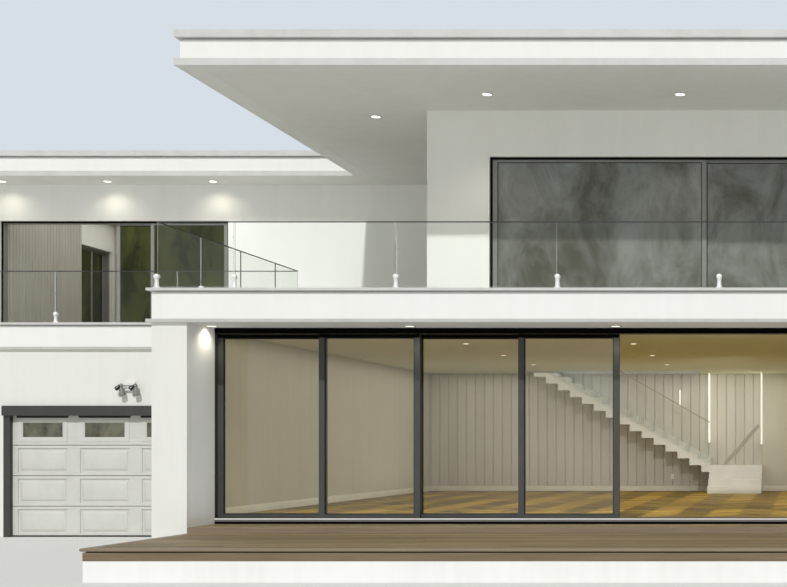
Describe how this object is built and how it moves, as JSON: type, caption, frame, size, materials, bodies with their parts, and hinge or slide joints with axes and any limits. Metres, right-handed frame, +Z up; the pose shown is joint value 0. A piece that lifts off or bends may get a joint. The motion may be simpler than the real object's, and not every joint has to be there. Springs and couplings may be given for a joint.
{
  "type": "modern detached house",
  "caption": "Modern two-storey house with a flat overhanging roof, a glass-railed balcony over sliding glass doors, a boarded deck and a garage wing.",
  "frame": {"origin": "underside of the base at driveway level, in the middle of the main block's width, in the plane of the ground-floor glazing", "axes": "+X to the right along the front, +Y into the house, +Z up"},
  "size_m": [25.245, 17.965, 7.855],
  "materials": {
    "render_white": "matte mineral render",
    "concrete": "painted concrete",
    "coping_grey": "satin coated sheet",
    "frame_grey": "anthracite coated aluminium",
    "deck_wood": "weathered hardwood boards",
    "parquet": "satin oak parquet",
    "gate_paint": "satin coated steel",
    "glass": "clear float glass",
    "fitting": "bright brushed steel",
    "stair_white": "satin white paint",
    "lamp": "frosted cover",
    "roof_sheet": "welded roofing sheet"
  },
  "bodies": {
    "house": {"foundation": "render_white", "ground_floor": "parquet", "deck": "deck_wood", "deck_step": "deck_wood", "left_pier": "render_white", "right_pier": "render_white", "ground_left_wall": "render_white", "ground_right_wall": "render_white", "ground_back_wall": "render_white", "garage_front_wall": "render_white", "garage_left_wall": "render_white", "garage_back_wall": "render_white", "garage_floor": "concrete", "garage_door": "gate_paint", "garage_door_glass": "glass", "garage_door_frame": "frame_grey", "floodlight": "fitting", "first_floor_slab": "concrete", "stairwell_slabs": "concrete", "terrace_slab": "concrete", "balcony_edge": "render_white", "balcony_coping": "coping_grey", "upper_front_wall": "render_white", "upper_left_wall": "render_white", "upper_right_wall": "render_white", "upper_back_wall": "render_white", "wing_front_wall": "render_white", "wing_left_wall": "render_white", "roof_slab": "roof_sheet", "wing_roof_slab": "roof_sheet", "roof_edge": "render_white", "roof_coping": "coping_grey", "door_frame": "frame_grey", "right_door_leaves": "frame_grey", "right_door_glass": "glass", "upper_window_frames": "frame_grey", "upper_window_glass": "glass", "ground_window_frames": "frame_grey", "ground_window_glass": "glass", "railing_glass": "glass", "railing_rail": "frame_grey", "railing_clamps": "fitting", "stair_lower_flight": "stair_white", "stair_upper_flight": "stair_white", "stair_glass": "glass", "stair_handrail": "fitting", "downlights": "lamp"},
    "leaf_1": {"door_leaf_1": "frame_grey", "door_glass_1": "glass"},
    "leaf_2": {"door_leaf_2": "frame_grey", "door_glass_2": "glass"},
    "leaf_3": {"door_leaf_3": "frame_grey", "door_glass_3": "glass"},
    "leaf_4": {"door_leaf_4": "frame_grey", "door_glass_4": "glass"}
  },
  "joints": [
    {"name": "leaf_1_slide", "type": "slide", "parent": "house", "child": "leaf_1", "axis": [1, 0, 0], "range_m": [0, 1.32]},
    {"name": "leaf_2_slide", "type": "slide", "parent": "house", "child": "leaf_2", "axis": [1, 0, 0], "range_m": [0, 1.32]},
    {"name": "leaf_3_slide", "type": "slide", "parent": "house", "child": "leaf_3", "axis": [1, 0, 0], "range_m": [0, 1.32]},
    {"name": "leaf_4_slide", "type": "slide", "parent": "house", "child": "leaf_4", "axis": [1, 0, 0], "range_m": [0, 1.32]}
  ]
}
